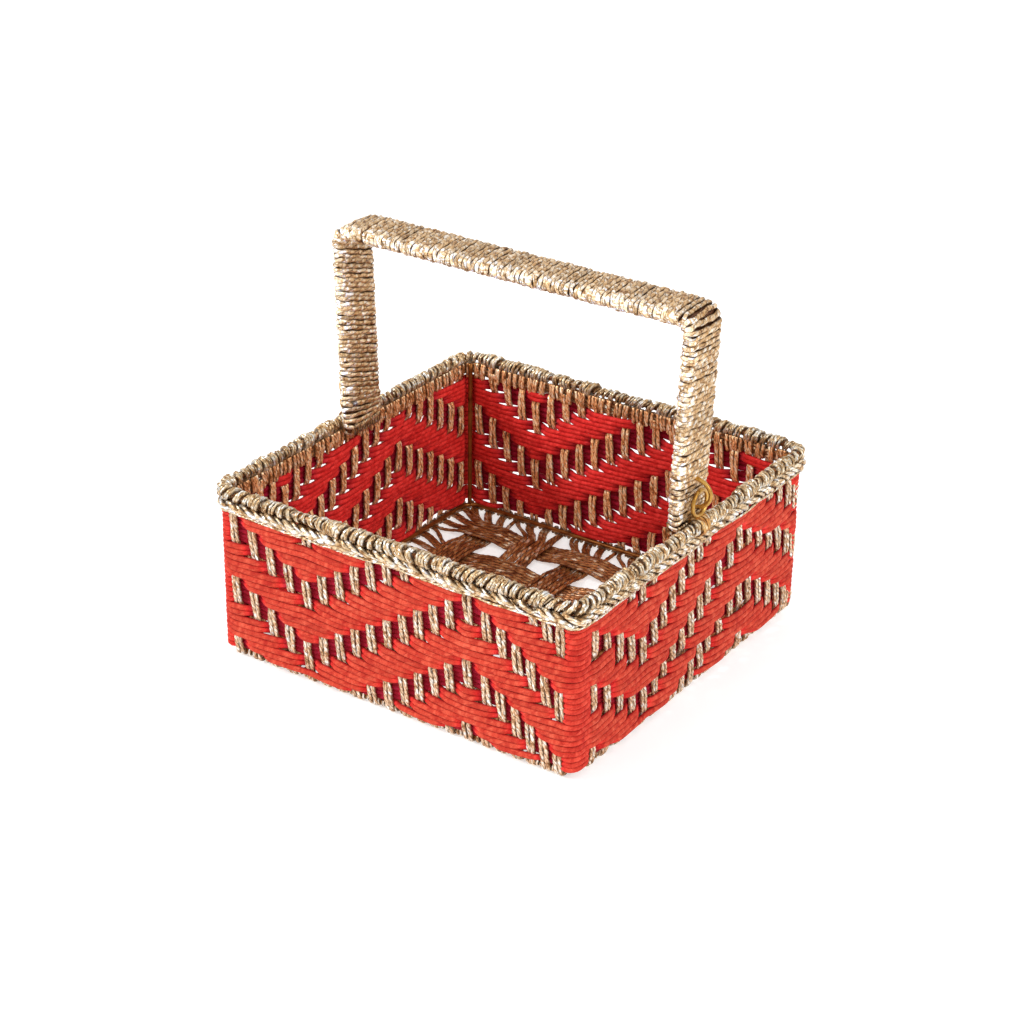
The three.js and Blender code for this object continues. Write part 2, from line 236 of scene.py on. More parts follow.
def noiseAt(tree, place, scale, detail, **more):
    inputs = {"Vector": place, "Scale": scale, "Detail": detail, **more}
    return addNode(tree, "TexNoise", inputs).outputs[0]


def pointValue(tree, name):
    return addNode(tree, "Attribute", attribute_name=name).outputs["Fac"]


def mixColour(tree, share, a, b, blend="MIX"):
    node = addNode(tree, "Mix", {"Factor": share}, data_type="RGBA", blend_type=blend)
    first, second = (socket for socket in node.inputs if socket.type == "RGBA")
    feed(tree, node, {first: a, second: b})
    return next(socket for socket in node.outputs if socket.type == "RGBA")


def ramp(tree, share, look):
    node = addNode(tree, "ValToRGB", {"Fac": share})
    elements = node.color_ramp.elements
    elements.remove(elements[1])
    elements[0].position, elements[0].color = look["stops"][0], linear(*look["colours"][0])
    for stop, colour in zip(look["stops"][1:], look["colours"][1:]):
        elements.new(stop).color = linear(*colour)
    return node.outputs[0]


def bumped(tree, height, look):
    strength, depth = look["bump"]
    return addNode(tree, "Bump", {"Height": height, "Strength": strength, "Distance": depth * mm}).outputs[0]


def newMaterial(name):
    material = bpy.data.materials.new(name)
    material.use_nodes = True
    tree = material.node_tree
    tree.nodes.clear()
    shader = addNode(tree, "BsdfPrincipled")
    addNode(tree, "OutputMaterial", {"Surface": shader.outputs[0]})
    return material, tree, shader


def cordFinish(name, look):
    # twisted cord: fine threads wound round it, each catching the light in its own way, with dark lines between them
    material, tree, shader = newMaterial(name)
    uv = addNode(tree, "UVMap", uv_map="cord")
    split = addNode(tree, "SeparateXYZ", {0: uv.outputs[0]})
    along, around = split.outputs[0], split.outputs[1]
    place = addNode(tree, "TexCoord").outputs["Object"]
    strand, paintedLight = pointValue(tree, "strand"), pointValue(tree, "paintedLight")

    # the threads: which one it is, and how far the spot is from its edge
    threads, step, sway = look["threads"]
    helix = maths(tree, "MULTIPLY_ADD", along, -1 / step, 0.5)
    helix = maths(tree, "MULTIPLY_ADD", around, threads, helix)
    helix = maths(tree, "MULTIPLY_ADD", noiseAt(tree, place, look["swayScale"], 1.0), sway, helix)
    thread = maths(tree, "FLOORED_MODULO", maths(tree, "FLOOR", helix), threads)
    crown = maths(tree, "ABSOLUTE", maths(tree, "SINE", maths(tree, "MULTIPLY", helix, pi)))

    # how bright each stretch of a thread is
    run = addNode(tree, "CombineXYZ", {
        0: maths(tree, "MULTIPLY", along, look["run"]), 1: maths(tree, "MULTIPLY", thread, look["threadGap"]),
        2: maths(tree, "MULTIPLY", strand, look["strandGap"])}).outputs[0]
    light = noiseAt(tree, run, 1.0, 2.0)
    patch, patchScale = look["patch"]
    light = maths(tree, "MULTIPLY_ADD", noiseAt(tree, place, look["speckScale"], 1.0), look["speck"], light)
    light = maths(tree, "MULTIPLY_ADD", noiseAt(tree, place, patchScale, 2.0), patch, light)
    middle = 0.5 * (1 + look["speck"] + patch)
    light = mapped(tree, light, middle - look["spread"], middle + look["spread"], 0.0, 1.0)
    colour = ramp(tree, light, look)
    shade = mapped(tree, strand, 0.0, 1.0, 1 - look["differ"], 1 + look["differ"] * 0.4)
    grey = addNode(tree, "CombineColor", {0: shade, 1: shade, 2: shade}).outputs[0]
    colour = mixColour(tree, 1.0, colour, grey, "MULTIPLY")

    # painted shade: darker in the grooves between the threads and on the cord's flanks, where neighbouring cords meet
    flankFrom, flankDepth = look["flank"]
    deep = mapped(tree, crown, 0.0, *look["grooveSize"], 0.0)
    flank = maths(tree, "COSINE", maths(tree, "MULTIPLY_ADD", around, 2 * pi, look["flankTurn"]))
    flank = mapped(tree, maths(tree, "ABSOLUTE", flank), flankFrom, 1.0, 0.0, flankDepth)
    colour = mixColour(tree, maths(tree, "MAXIMUM", deep, flank), colour, linear(*look["groove"]))

    # painted light and shade: a point value of 0 to 0.5 brings in the inside tint, and from there to 1 the sunk one;
    # these tints paint shade in the weave's recesses, light reflected onto the gold uprights' inner sides, and
    # highlights on the handle's edges and the plait
    tint = mixColour(tree, maths(tree, "MULTIPLY", paintedLight, 2.0), (1, 1, 1, 1), look["inside"])
    tint = mixColour(tree, maths(tree, "MULTIPLY_ADD", paintedLight, 2.0, -1.0), tint, look.get("sunk", look["inside"]))
    smooth, dull = look["roughness"]
    height = maths(tree, "MULTIPLY_ADD", light, look["fibre"], maths(tree, "POWER", crown, 0.6))
    feed(tree, shader, {
        "Base Color": mixColour(tree, 1.0, colour, tint, "MULTIPLY"),
        "Roughness": mapped(tree, light, 0.0, 1.0, dull, smooth),
        "Metallic": look["metallic"], "Specular IOR Level": look["specular"], "Normal": bumped(tree, height, look)})
    return material


def wireFinish(name, look):
    # drawn wire: patches of darker tarnish and fine lines
    material, tree, shader = newMaterial(name)
    place = addNode(tree, "TexCoord").outputs["Object"]
    fine = noiseAt(tree, place, 900.0, 3.0)
    share = mapped(tree, noiseAt(tree, place, 90.0, 5.0, Roughness=0.65), 0.38, 0.66, 0.0, 1.0)
    look = {"bump": (0.25, 0.1)} | look
    feed(tree, shader, {
        "Base Color": mixColour(tree, share, linear(*look["colour"]), linear(*look["tarnish"])),
        "Roughness": mapped(tree, fine, 0.3, 0.7, *look["roughness"]),
        "Metallic": look["metallic"], "Normal": bumped(tree, fine, look)})
    return material


# what the cords' finishes have in common, unless they say otherwise
threadLook = {
    "stops": (0.0, 0.3, 0.66, 0.94),  # of the colours, from the shaded threads to the ones that catch the light
    "swayScale": 220.0, "speckScale": 1300.0, "threadGap": 7.31, "strandGap": 37.0, "flankTurn": 0.0,
    "inside": (1, 1, 1, 1), "roughness": (0.22, 0.45), "metallic": 0.5, "specular": 0.6,
    "fibre": 0.4, "bump": (0.6, 0.35),
}

# threads are their number, step and sway, and patch is its strength and scale
finishes = {
    "redCotton": cordFinish("red cotton cord", threadLook | {
        "colours": [(172, 38, 28), (200, 64, 44), (224, 94, 68)], "stops": (0.0, 0.5, 1.0),
        # inside and sunk deepen the red towards crimson: painted shade in the weave's recesses and on the inner walls
        "groove": (126, 12, 22), "inside": (1.28, 0.52, 0.85, 1), "sunk": (0.6, 0.1, 0.8, 1),
        "threads": (3, 11.0, 0.8), "run": 0.25, "spread": 0.26, "speck": 0.5, "patch": (0.2, 50.0),
        "grooveSize": (0.3, 0.32), "flankTurn": pi / 2, "flank": (0.8, 0.6), "differ": 0.12,
        "roughness": (0.75, 0.9), "metallic": 0.0, "specular": 0.2, "fibre": 0.35, "bump": (0.5, 0.3)}),
    "goldThread": cordFinish("champagne gold thread", threadLook | {
        "colours": [(152, 104, 60), (222, 174, 132), (242, 214, 182), (255, 252, 246)],
        # inside warms and brightens the uprights' inner sides, a painted reflection of the red walls; sunk darkens to
        # bronze, painted shade
        "groove": (80, 56, 26), "inside": (1.6, 1.28, 0.98, 1), "sunk": (0.8, 0.5, 0.28, 1),
        "threads": (5, 5.0, 2.0), "run": 0.25, "spread": 0.2, "speck": 0.4, "patch": (0.3, 240.0),
        "grooveSize": (0.6, 0.85), "flank": (0.62, 0.75), "differ": 0.14,
        "roughness": (0.25, 0.5), "metallic": 0.45, "specular": 0.5, "fibre": 0.5, "bump": (0.8, 0.4)}),
    "rimThread": cordFinish("pale gold rim thread", threadLook | {
        "colours": [(138, 94, 46), (208, 168, 116), (236, 216, 182), (255, 255, 252)],
        # inside whitens the plait's outer stretches, a painted highlight
        "groove": (78, 50, 22), "inside": (1.3, 1.45, 1.8, 1),
        "threads": (6, 5.0, 1.6), "run": 0.22, "spread": 0.2, "speck": 0.3, "patch": (0.6, 150.0),
        "grooveSize": (0.5, 0.8), "flank": (0.6, 0.9), "differ": 0.22, "roughness": (0.2, 0.42)}),
    "handleThread": cordFinish("beige gold thread", threadLook | {
        "colours": [(118, 70, 28), (194, 148, 92), (218, 184, 136), (250, 240, 226)],
        # inside whitens the handle's edges, a painted highlight
        "groove": (60, 30, 10), "inside": (1.8, 2.3, 3.5, 1),
        "threads": (3, 7.5, 1.0), "run": 0.3, "spread": 0.24, "speck": 0.5, "patch": (0.3, 260.0),
        "grooveSize": (0.45, 0.8), "flank": (0.7, 0.95), "differ": 0.2}),
    "brownThread": cordFinish("bronze brown thread", threadLook | {
        "colours": [(116, 60, 26), (178, 110, 58), (208, 146, 88), (250, 226, 196)], "stops": (0.0, 0.4, 0.75, 0.95),
        "groove": (70, 30, 14), "inside": (1.3, 0.95, 0.82, 1), "sunk": (0.8, 0.55, 0.4, 1),
        "threads": (4, 7.0, 1.2), "run": 0.14, "spread": 0.2, "speck": 0.3, "patch": (0.4, 120.0),
        "grooveSize": (0.55, 0.85), "flank": (0.75, 0.6), "differ": 0.25,
        "roughness": (0.25, 0.5), "metallic": 0.45, "specular": 0.5, "fibre": 0.5, "bump": (0.8, 0.35)}),
    "ochreThread": cordFinish("ochre gold thread", threadLook | {
        "colours": [(140, 80, 30), (206, 142, 66), (224, 176, 104), (250, 226, 180)],
        "groove": (84, 42, 14),
        "threads": (4, 5.0, 0.8), "run": 0.2, "spread": 0.22, "speck": 0.3, "patch": (0.4, 150.0),
        "grooveSize": (0.45, 0.6), "flank": (0.8, 0.8), "differ": 0.2}),
    "bronzeWire": wireFinish("bronze wire", {
        "colour": (158, 100, 46), "tarnish": (112, 64, 26), "roughness": (0.28, 0.45), "metallic": 0.8}),
    "brightWire": wireFinish("bright brass wire", {
        "colour": (214, 168, 88), "tarnish": (150, 104, 42), "roughness": (0.2, 0.36), "metallic": 0.9}),
    "pinSteel": wireFinish("pale steel pin", {
        "colour": (190, 186, 192), "tarnish": (120, 114, 118), "roughness": (0.18, 0.32), "metallic": 0.95}),
}
print("materials made:", len(finishes))


# walls: where each course runs inside or outside the upright cords

def phaseAt(side, column, pick):
    # where an upright cord is in its over and under: outside the reds in the first half, then inside them
    valley, peak, late = weave["valley"], weave["peak"], weave["late"]
    column = np.asarray(column)
    turned = np.where(column <= peak, 2 * valley - column, column + 2 * valley - 2 * peak)
    step = np.where(column <= valley, column, turned)
    last = np.where((column >= late["from"]) & (column <= peak), late["between"], late["ends"])
    by = late["by"].get(sideNames[side], 0)
    return (pick - step - by * ease((last - pick) / late["fade"])) % (2 * weave["float"])


def squareLoop(half, corner, step, arcSteps):
    # x, y, outward normal, side and distance from the side's middle, anticlockwise round a rounded square
    spots = []
    run = half - corner
    for side in range(4):
        angle = side * pi / 2
        normal = np.array([round(cos(angle)), round(sin(angle))], float)
        forward = np.array([-normal[1], normal[0]])
        for t in np.linspace(-run, run, int(2 * run / step) + 1):
            spots.append((*(normal * half + forward * t), *normal, side, t))
        for k in range(1, arcSteps):
            turn = angle + pi / 2 * k / arcSteps
            face = np.array([cos(turn), sin(turn)])
            early = k <= arcSteps / 2
            spot = (normal + forward) * run + face * corner
            spots.append((*spot, *face, side if early else (side + 1) % 4, run + 1 if early else -run - 1))
    return np.array(spots)


def columnAt(side, z):
    # where a side's upright cords stand at a height, along +X or +Y from its middle
    even = (np.arange(weave["columns"]) - (weave["columns"] - 1) / 2) * weave["columnPitch"]
    places, nudges = zip(*weave["nudge"].get(sideNames[side], [(0, 0)]))
    drop = np.clip(1 - np.asarray(z) / weave["top"], 0, 1)[..., None]
    lean = weave["lean"].get(sideNames[side], 0) * drop * (1 - (even / weave["leanHalf"]) ** 4)
    return even + np.interp(even, places, nudges) + lean


def phasesOf(spots, pick):
    # the phase of the upright cord nearest to each spot, and whether the spot lies beyond a side's last ones
    z = weave["top"] - pick * weave["coursePitch"]
    phases = np.zeros(len(spots))
    clear = np.abs(spots[:, 5]) > weave["half"] - redLook["corner"] - 1
    for side in range(4):
        here = spots[:, 4] == side
        along = spots[here, 5] * (1 if side in (0, 3) else -1)  # the loop runs the other way at the back and left
        stand = columnAt(side, z)
        phases[here] = phaseAt(side, np.argmin(np.abs(along[:, None] - stand[None]), 1), pick)
        clear[here] |= (along < stand[0] - weave["cornerZone"]) | (along > stand[-1] + weave["cornerZone"])
    return phases, clear


redLook = {
    "width": 1.62, "height": 1.8,  # half of a cord's section, across the wall and up it
    "sides": 12,
    "corner": 6.0, "cornerShift": 1.4,  # bend at the basket's corners, and how far out the cords lie there
    "offset": 2.0,  # how far a course runs inside or outside the wall's middle
    "crown": 0.6,  # extra, at the middle of a float of three courses
    "spread": 0.1, "gather": 0.12,  # share by which three courses part outside and draw together inside
    "bulge": 0.09,  # how much taller a cord is inside
    "waver": (0.2, 4, 9.0),
    "blur": {"flush": 2.0, "shift": 3.2, "drop": 4.0, "bulge": 3.0},
}


def weaveReds():
    blur, pitch, over, sides = redLook["blur"], weave["coursePitch"], weave["float"], redLook["sides"]
    spots = squareLoop(weave["half"], redLook["corner"], 1.0, 10)
    for course in range(weave["courses"] + 1):
        single = course == weave["courses"]
        phase, clear = phasesOf(spots, course + 0.5)
        flush = smoothLoop(clear.astype(float), blur["flush"])
        outside = phase >= over
        bulge = redLook["bulge"] * smoothLoop(outside.astype(float), blur["bulge"]) * (1 - flush)
        cords = []
        for half in range(1 if single else 2):
            seed = 10 * course + half
            place = (phase % over) * 2 + half - over - 0.5  # -2.5 at the top cord of three courses, 2.5 at the lowest
            reach = redLook["offset"] + redLook["crown"] * (1 - (place / over) ** 2)
            shift = smoothLoop(np.where(outside, reach, -reach), blur["shift"])
            shift = shift * (1 - flush) + redLook["cornerShift"] * flush
            z = weave["top"] - course * pitch - (half + 0.5) * pitch / 2
            drop = place * np.where(outside, -redLook["spread"], redLook["gather"]) * pitch / 2
            drop = smoothLoop(drop, blur["drop"]) * (1 - flush)
            waver = uneven(redLook["waver"], seed, len(spots))
            xy = spots[:, :2] + spots[:, 2:4] * (shift + 0.5 * waver)[:, None]
            points = np.column_stack([xy, z + drop + waver])[::2]
            height = redLook["height"] * (1 + bulge)[::2]
            tone = toneOf(500 + seed)
            cord = sweep(points, upward, redLook["width"], height, sides, closed=True, strand=tone)

            # painted shade: the stretches of a cord that lie sunk inside the wall and face out, and the sides that
            # face the basket's inside, take the crimson shade tints
            sunk = np.clip(0.5 - 0.5 * shift / redLook["offset"], 0, 1)[::2, None]
            face = np.cos(2 * pi * np.arange(sides) / sides)[None]  # 1 where the cord faces outward
            within = np.clip(0.4 - 2 * face, 0, 1)
            fromOutside = sunk * np.clip(face + 0.4, 0, 1) * (1 - within)
            fromInside = within * (0.5 + 0.5 * (1 - sunk) * (1 - flush[::2, None]))
            cord["paintedLight"] = (fromOutside + fromInside).ravel()
            cords.append(cord)
        name = f"weft_{course + 1}_single" if single else f"weft_{course + 1:02d}"
        makePiece(f"red_course_{course + 1:02d}", cords, "redCotton", [name])


weaveReds()
print("red courses woven")


goldLook = {
    "section": (1.5, 1.1), "sides": 10, "fatter": 0.12,
    "spread": (1.4, 0.25),  # half the spacing of a pair, and what it gains at the middle of a stitch
    "offset": 1.2,
    "tilt": {"front": 1.2, "right": 0.5, "back": -0.6, "left": 0.5}, "tiltMore": 0.5,
    "waver": 0.35, "waverStep": 14,
    "twist": 10.0,
    "top": 106.0, "step": 0.5,
    "ringHalf": 125.8, "ringZ": 3.7, "ringReach": 3.25, "lowZ": 1.3,  # the base wire, and the bend round it
    "fade": 8.0, "bendSteps": 7,
}


def pairPath(side, column, which, seed):
    # one cord of an upright pair, from the braid down the wall and round under the base wire
    over, offset, ringZ = weave["float"], goldLook["offset"], goldLook["ringZ"]
    angle = side * pi / 2
    normal = np.array([round(cos(angle)), round(sin(angle)), 0], float)
    count = np.array([abs(normal[1]), abs(normal[0]), 0])  # columns count along +X and +Y
    z = np.arange(goldLook["top"], ringZ + 1.2, -goldLook["step"])
    phase = phaseAt(side, column, (weave["top"] - z) / weave["coursePitch"])
    outside = phase < over
    out = smoothLine(np.where(outside, offset, -offset), 4.0)
    # from -1 to 1 down a stitch, and back
    share = np.where(outside, (phase - over / 2) / (over / 2), (1.5 * over - phase) / (over / 2))
    spread = goldLook["spread"][0] + goldLook["spread"][1] * np.where(outside, 1 - share ** 2, 0)
    lean = (goldLook["tilt"][sideNames[side]] + goldLook["tiltMore"] * sin(seed * 1.7)) * share
    noise = goldLook["waver"] * wander(len(z), goldLook["waverStep"], seed)
    across = smoothLine(lean + which * spread, 3.0) + noise + columnAt(side, z)[:, column]
    fade = np.clip((z - ringZ) / goldLook["fade"], 0, 1)
    path = normal * (weave["half"] + out * fade)[:, None] + count * across[:, None] + upward * z[:, None]
    turn = np.linspace(0.08, 1, goldLook["bendSteps"])[:, None] * pi / 2
    bend = normal * (goldLook["ringHalf"] + goldLook["ringReach"] * np.cos(turn)) + count * across[-1]
    bend = bend + upward * (ringZ - (ringZ - goldLook["lowZ"]) * np.sin(turn))
    facing = [np.tile(normal, (len(z[::2]), 1)), normal * np.cos(turn) - upward * np.sin(turn)]
    return np.concatenate([path[::2], bend]), np.concatenate(facing), across[-1]


def hangGolds():
    # two cords for each upright; gives back where their feet stand, for the cords of the base
    feet = {}
    sides, (wide, high) = goldLook["sides"], goldLook["section"]
    # painted reflection: the uprights' inward sides are tinted warmer and brighter, as if lit by the red walls
    inward = np.clip(0.2 - np.sin(2 * pi * np.arange(sides) / sides), 0, 0.5)
    for side, sideName in enumerate(sideNames):
        cords = []
        for number in range(2 * weave["columns"]):
            seed = 1000 + side * 100 + number
            which = 1 if number % 2 else -1
            points, facing, feet[side, number] = pairPath(side, number // 2, which, seed)
            fat = 1 + goldLook["fatter"] * wander(len(points), 7, seed + 7000)
            cord = sweep(points, facing, wide * fat, high * fat, sides, 3, 0.12,
                         goldLook["twist"], strand=toneOf(seed), turn=seed)
            cord["paintedLight"] = np.tile(inward, len(points))
            cords.append(cord)
        makePiece(f"gold_uprights_{sideName}", cords, "goldThread", [f"braid_and_warps_{sideName}"])
    return feet


feet = hangGolds()
print("gold uprights hung")


# rim: beads of two thin cords wound over the wire, a plaited row under it and hitches inside

rimLook = {
    "half": 131.0, "corner": 10.0, "z": 113.3, "wire": 1.8, "hoop": 1.9,
    "turnPitch": 5.7, "steps": 22, "reach": 2.95, "bead": (1.12, 1.6), "apart": 0.95, "thin": (0.9, 0.8), "sunk": 0.9,
    "pressed": {"depth": 1.6, "from": 120, "half": 46.0, "fade": 10.0},  # worn flat inside, beside the handle's legs
    "fat": (0.18, 6, 0.6), "nudge": (1.3, 6, 0.6), "slope": (1.3, 8, 1.1), "own": (0.3, 5, 0.2),
    "tone": (0.4, 5, 0.4),
    "plait": {"half": 131.7, "corner": 8.0, "z": 105.0, "rise": 3.0, "depth": 1.8, "period": 19.0,
              "outerShare": 0.62, "section": (1.75, 1.3), "step": 1.1,
              "drift": (0.05, 6, 14), "noise": (0.7, 5, 5), "fat": (0.2, 5, 5), "pale": (0.25, 5, 6)},
    "edge": {"half": 132.2, "z": 101.0, "radius": 1.0, "noise": (0.45, 5, 6)},
    "hitch": {"pitch": 2.9, "half": 127.6, "corner": 8.0, "top": 110.5, "bottom": 100.6, "radius": 1.3,
              "lean": 1.6, "bow": 0.9, "inward": 0.6, "paintedLight": (0.5, 0.8)},
    "hitchRows": {"z": (108.6, 105.4, 102.6), "step": 1.5, "behind": 1.9, "section": (1.25, 1.5),
                  "noise": (0.5, 5, 4), "paintedLight": 0.9},
}


def loopPoints(half, corner):
    spots = squareLoop(half, corner, 1.0, 12)
    steps = np.diff(np.vstack([spots[:, :2], spots[:1, :2]]), axis=0)
    return spots, np.concatenate([[0], np.cumsum(np.linalg.norm(steps, axis=1))])


def onLoop(spots, along, distance):
    # place and outward normal at a distance round a loop
    distance = np.asarray(distance) % along[-1]
    closed = np.vstack([spots[:, :4], spots[:1, :4]])
    values = [np.interp(distance, along, closed[:, k]) for k in range(4)]
    at = np.column_stack([values[0], values[1], 0 * distance])
    return at, unit(np.column_stack([values[2], values[3], 0 * distance]))


def windRim():
    # a bead of two cords for each turn round the wire, and a thin cord sunk between the beads
    spots, along = loopPoints(rimLook["half"], rimLook["corner"])
    turns = round(along[-1] / rimLook["turnPitch"])
    steps, pressed, sides = rimLook["steps"], rimLook["pressed"], 8
    count = turns * steps
    tau = np.arange(count) / steps
    cords = []
    for seed, kind, beside in ((31, "bead", -1), (31, "bead", 1), (37, "thin", 0)):
        wide, high = rimLook[kind]
        bead = kind == "bead"
        fat = 1 + uneven(rimLook["fat"], seed, count, steps)
        nudge = uneven(rimLook["nudge"], seed + 10, count, steps)
        slope = uneven(rimLook["slope"], seed + 20, count, steps)
        own = uneven(rimLook["own"], 64 + beside, count, steps)
        angle = 2 * pi * tau + (0 if bead else pi)
        distance = tau * along[-1] / turns + nudge + slope * np.sin(angle) + beside * rimLook["apart"] * fat + own
        at, normal = onLoop(spots, along, distance)
        facing = normal * np.cos(angle)[:, None] + upward * np.sin(angle)[:, None]
        reach = rimLook["reach"] * (0.5 + 0.5 * fat) + (0.3 * own if bead else -rimLook["sunk"])
        besideLeg = ease((pressed["half"] - np.abs(at[:, 1])) / pressed["fade"])
        besideLeg = besideLeg * (np.abs(at[:, 0]) > pressed["from"])
        reach = reach - pressed["depth"] * besideLeg * np.sqrt(np.clip(-np.cos(angle), 0, 1))
        points = at + upward * rimLook["z"] + facing * reach[:, None]
        # painted shade: the thin cord between the beads keeps strand 0, the darkest tone
        cord = sweep(points, facing, wide * fat, high * fat, sides, 2, 0.14, 7.0, closed=True, strand=0.0)
        if bead:
            tone = 0.6 + uneven(rimLook["tone"], 55 + beside, count, steps)
            cord["strand"] = np.repeat(np.clip(tone, 0, 1), sides)
        cords.append(cord)
    makePiece("rim_winding", cords, "rimThread", ["rim_roll"])
    wire = squareLoop(rimLook["half"], rimLook["corner"], 6.0, 12)
    makeHoop("rim_hoop", wire, rimLook["z"], rimLook["hoop"], 10, "brownThread", "rim_wire")


def plaitRim():
    # three cords that run slowly down the outside and come back up behind
    plait, edge, sides = rimLook["plait"], rimLook["edge"], 10
    wide, high = plait["section"]
    spots, along = loopPoints(plait["half"], plait["corner"])
    periods = round(along[-1] / plait["period"])
    count = int(along[-1] / plait["step"])
    distance = np.arange(count) * along[-1] / count
    at, normal = onLoop(spots, along, distance)
    share = plait["outerShare"]
    cords = []
    for strand in range(3):
        drift = uneven(plait["drift"], 75 + strand, count)
        phase = (distance / along[-1] * periods + strand / 3 + drift) % 1
        front = phase < share
        back = (phase - share) / (1 - share)
        rise = np.where(front, 1 - 2 * phase / share, 2 * (phase - share) / (1 - share) - 1)
        depth = np.where(front, np.sin(pi * phase / share), -np.sin(pi * back))
        noise = uneven(plait["noise"], 70 + strand, count)
        points = at + upward * (plait["z"] + plait["rise"] * smoothLoop(rise, 1.2) + noise)[:, None]
        points = points + normal * (plait["depth"] * smoothLoop(depth, 1.0) + 0.5 * noise)[:, None]
        fat = 1 + uneven(plait["fat"], 85 + strand, count)
        cord = sweep(points, normal, wide * fat, high * fat, sides, 3, 0.16, 9.0, closed=True,
                     strand=0.5 + 0.25 * strand)
        # painted highlight: the strands' outer stretches are whitened by the rim thread's inside tint
        pale = 0.25 + uneven(plait["pale"], 89 + strand, count)
        cord["paintedLight"] = np.repeat(np.clip(pale * depth, 0, 0.5), sides)
        cords.append(cord)
    # a thin cord along the plait's lower edge
    noise = uneven(edge["noise"], 80, count)
    at, normal = onLoop(*loopPoints(edge["half"], plait["corner"]), distance)
    points = at + upward * (edge["z"] + noise)[:, None]
    cords.append(sweep(points, normal, edge["radius"], edge["radius"], 8, 2, 0.15, 5.0, closed=True, strand=0.9))
    makePiece("rim_plait", cords, "rimThread")


def hitchRim():
    # cords that come over the rim and hang inside it, and three rows behind them
    hitch, rows = rimLook["hitch"], rimLook["hitchRows"]
    spots, along = loopPoints(hitch["half"], hitch["corner"])
    total = int(along[-1] / hitch["pitch"])
    share = np.linspace(0, 1, 10)
    cords = []
    for k in range(total):
        chance = np.random.default_rng(2000 + k)
        lean = chance.uniform(-hitch["lean"], hitch["lean"])
        low, deep = chance.uniform(-1.5, 1.0), chance.uniform(-0.5, 0.5)
        at, normal = onLoop(spots, along, (k + 0.3 * lean) * along[-1] / total + lean * share)
        z = hitch["top"] + (hitch["bottom"] + low - hitch["top"]) * share
        bow = hitch["bow"] * np.sin(pi * share) - hitch["inward"]
        points = at + normal * (-bow + deep * share)[:, None] + upward * z[:, None]
        cord = sweep(points, -normal, hitch["radius"], hitch["radius"], 7, 2, 0.15, 6.0,
                     strand=chance.uniform(0, 1), turn=k)
        # painted shade and reflected light: each hitch takes the gold's inside tint and part of its darker sunk tint,
        # as in the shade under the rim
        cord["paintedLight"] += chance.uniform(*hitch["paintedLight"])
        cords.append(cord)
    distance = np.arange(0, along[-1], rows["step"])
    at, normal = onLoop(spots, along, distance)
    for k, row in enumerate(rows["z"]):
        noise = uneven(rows["noise"], 2900 + k, len(distance))
        points = at + normal * (rows["behind"] + 0.4 * noise)[:, None] + upward * (row + noise)[:, None]
        cord = sweep(points, upward, *rows["section"], 8, 2, 0.15, 6.0, closed=True, strand=0.3 + 0.3 * k)
        # painted shade: the rows behind the hitches take mostly the gold's dark sunk tint
        cord["paintedLight"] += rows["paintedLight"]
        cords.append(cord)
    makePiece("rim_hitches", cords, "goldThread")


windRim()
plaitRim()
hitchRim()
print("rim wound")


# base: bands of thin cords, over one and under one, and the bare wires

baseLook = {
    "bands": 6, "pitch": 39.667, "shift": {"x": -3.3, "y": 8.4}, "cords": 7, "cordPitch": 3.25,
    "section": (1.6, 0.95),
    "lift": 2.5, "hold": 12.1,  # how high a band rises over another, and how far it stays up to each side
    "fan": 26.0,  # the stretch over which its cords part towards the uprights' feet
    "wander": 0.5, "rough": 0.2,
    "wireHalf": 125.8, "wireCorner": 10.08, "wireZ": 3.7, "wireRadius": 1.6,
    "postAt": 122.85, "postRadius": 1.5, "postBow": 0.3,
    "hitches": {"pitch": 3.5, "reach": 2.15, "radius": (1.15, 0.95), "from": -120, "to": 55, "lean": 1.2},
}


def weaveBase():
    pitch, hold, middle = baseLook["pitch"], baseLook["hold"], (baseLook["bands"] - 1) / 2
    half, fan, count = goldLook["ringHalf"], baseLook["fan"], baseLook["cords"]
    t = np.arange(-half, half + 0.1, 2.0)
    nearLow, nearHigh = 1 - ease((t + half) / fan), 1 - ease((half - t) / fan)
    # low and high are the sides where a band starts and ends
    for axis, other, odd, low, high, firstSeed in (("x", "y", 1, 2, 0, 3000), ("y", "x", 0, 3, 1, 3100)):
        for index in range(baseLook["bands"]):
            lift = np.zeros(len(t))
            for crossing in range(baseLook["bands"]):
                if (index + crossing) % 2 == odd:
                    away = np.abs(t - ((crossing - middle) * pitch + baseLook["shift"][other]))
                    lift = np.maximum(lift, 1 - ease((away - hold + 2) / (pitch - 2 * hold + 2)))
            cords = []
            for k in range(count):
                number = index * count + k
                seed = firstSeed + number
                band = (index - middle) * pitch + baseLook["shift"][axis]
                band = band + (k - (count - 1) / 2) * baseLook["cordPitch"]
                band = band + baseLook["wander"] * wander(len(t), 14, seed)
                across = band * (1 - nearLow - nearHigh) + feet[low, number] * nearLow + feet[high, number] * nearHigh
                rough = baseLook["rough"] * np.maximum(wander(len(t), 9, seed + 500), 0)
                z = goldLook["lowZ"] + baseLook["lift"] * lift + rough
                points = np.column_stack([t, across, z] if axis == "x" else [across, t, z])
                cords.append(sweep(points, upward, *baseLook["section"], 8, 2, 0.14, 7.0, strand=toneOf(seed),
                                   turn=seed))
            place = f"{axis}_{index + 1}"
            # the base's cords carry on from the gold uprights, drawn with the darker brown thread
            makePiece(f"base_cords_{place}", cords, "brownThread", [f"base_band_{place}"])


